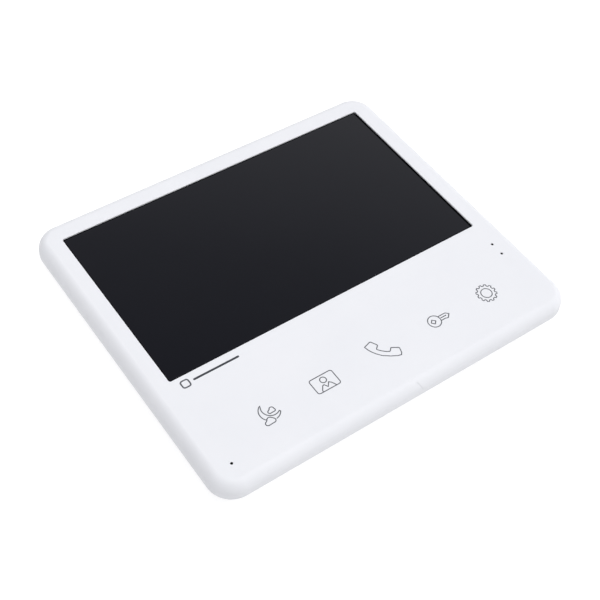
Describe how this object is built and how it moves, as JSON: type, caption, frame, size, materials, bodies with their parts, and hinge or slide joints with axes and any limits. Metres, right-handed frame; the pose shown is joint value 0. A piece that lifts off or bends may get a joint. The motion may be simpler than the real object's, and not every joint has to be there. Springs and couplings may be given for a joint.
{
  "type": "video intercom monitor",
  "caption": "Flat wall monitor for a video door intercom: white rounded housing, dark glossy screen, printed touch keys, lift-off steel wall bracket.",
  "frame": {"origin": "centre of the footprint on the wall plane, under the middle of the housing", "axes": "+X to the right across the face, the long way; +Y up the face; +Z out of the face, so the monitor lies on its back with the wall plane at z = 0"},
  "size_m": [0.1764, 0.152, 0.0164],
  "materials": {
    "white_plastic": "fine satin texture",
    "key_print": "screen-printed ink",
    "zinc_steel": "bright zinc plated sheet",
    "screen_glass": "polished, dark",
    "black_foam": "fine closed-cell foam",
    "tin_sheet": "tinned sheet",
    "display_cell": "polished, dark",
    "acrylic": "clear, polished",
    "ribbon_film": "amber film",
    "board_green": "solder mask over glass laminate",
    "chip_black": "moulded, matt",
    "capacitor_amber": "moulded, matt",
    "socket_cream": "moulded nylon",
    "led_clear": "clear epoxy",
    "card_black": "moulded, matt",
    "black_rubber": "matt rubber",
    "wire_black": "soft jacket",
    "wire_red": "soft jacket",
    "magnet_steel": "plated",
    "cone_paper": "pressed paper",
    "screw_steel": "zinc plated"
  },
  "bodies": {
    "bracket": {"wall_bracket": "zinc_steel"},
    "monitor": {"front_shell": "white_plastic", "rear_cover": "white_plastic", "speaker_basket": "zinc_steel", "screen_lens": "screen_glass", "screen_gasket": "black_foam", "foam_strip_left": "black_foam", "foam_strip_right": "black_foam", "speaker_gasket": "black_foam", "touch_pad_silence": "black_foam", "touch_pad_view": "black_foam", "touch_pad_talk": "black_foam", "touch_pad_unlock": "black_foam", "touch_pad_settings": "black_foam", "display_bezel": "tin_sheet", "backlight_tray": "tin_sheet", "card_socket": "tin_sheet", "microphone": "tin_sheet", "display_cell": "display_cell", "light_guide": "acrylic", "backlight_strip": "acrylic", "display_ribbon": "ribbon_film", "touch_ribbon": "ribbon_film", "main_board": "board_green", "touch_board": "board_green", "indicator_board": "board_green", "processor": "chip_black", "memory_chip": "chip_black", "video_decoder": "chip_black", "touch_chip": "chip_black", "power_inductor_1": "chip_black", "power_inductor_2": "chip_black", "power_capacitor_1": "capacitor_amber", "power_capacitor_2": "capacitor_amber", "door_socket_1": "socket_cream", "door_socket_2": "socket_cream", "camera_socket_1": "socket_cream", "camera_socket_2": "socket_cream", "supply_socket": "socket_cream", "ribbon_connector": "socket_cream", "indicator_led_1": "led_clear", "indicator_led_2": "led_clear", "microphone_boot": "black_rubber", "microphone_lead": "wire_black", "indicator_lead": "wire_black", "speaker_lead_black": "wire_black", "speaker_lead_red": "wire_red", "speaker_magnet": "magnet_steel", "housing_screw_1": "screw_steel", "housing_screw_2": "screw_steel", "housing_screw_3": "screw_steel", "housing_screw_4": "screw_steel", "board_screw_1": "screw_steel", "board_screw_2": "screw_steel", "board_screw_3": "screw_steel", "board_screw_4": "screw_steel", "touch_screw_1": "screw_steel", "touch_screw_2": "screw_steel"},
    "memory_card": {"memory_card": "card_black"},
    "speaker_cone": {"speaker_cone": "cone_paper"}
  },
  "joints": [
    {"name": "lift_off", "type": "slide", "parent": "bracket", "child": "monitor", "axis": [0, 1, 0], "range_m": [0, 0.0065]},
    {"name": "card_slide", "type": "slide", "parent": "monitor", "child": "memory_card", "axis": [1, 0, 0], "range_m": [-0.0006, 0.0156]},
    {"name": "cone_travel", "type": "slide", "parent": "monitor", "child": "speaker_cone", "axis": [0, 0, 1], "range_m": [-0.0004, 0.0004], "stiffness_N_per_m": 800}
  ]
}
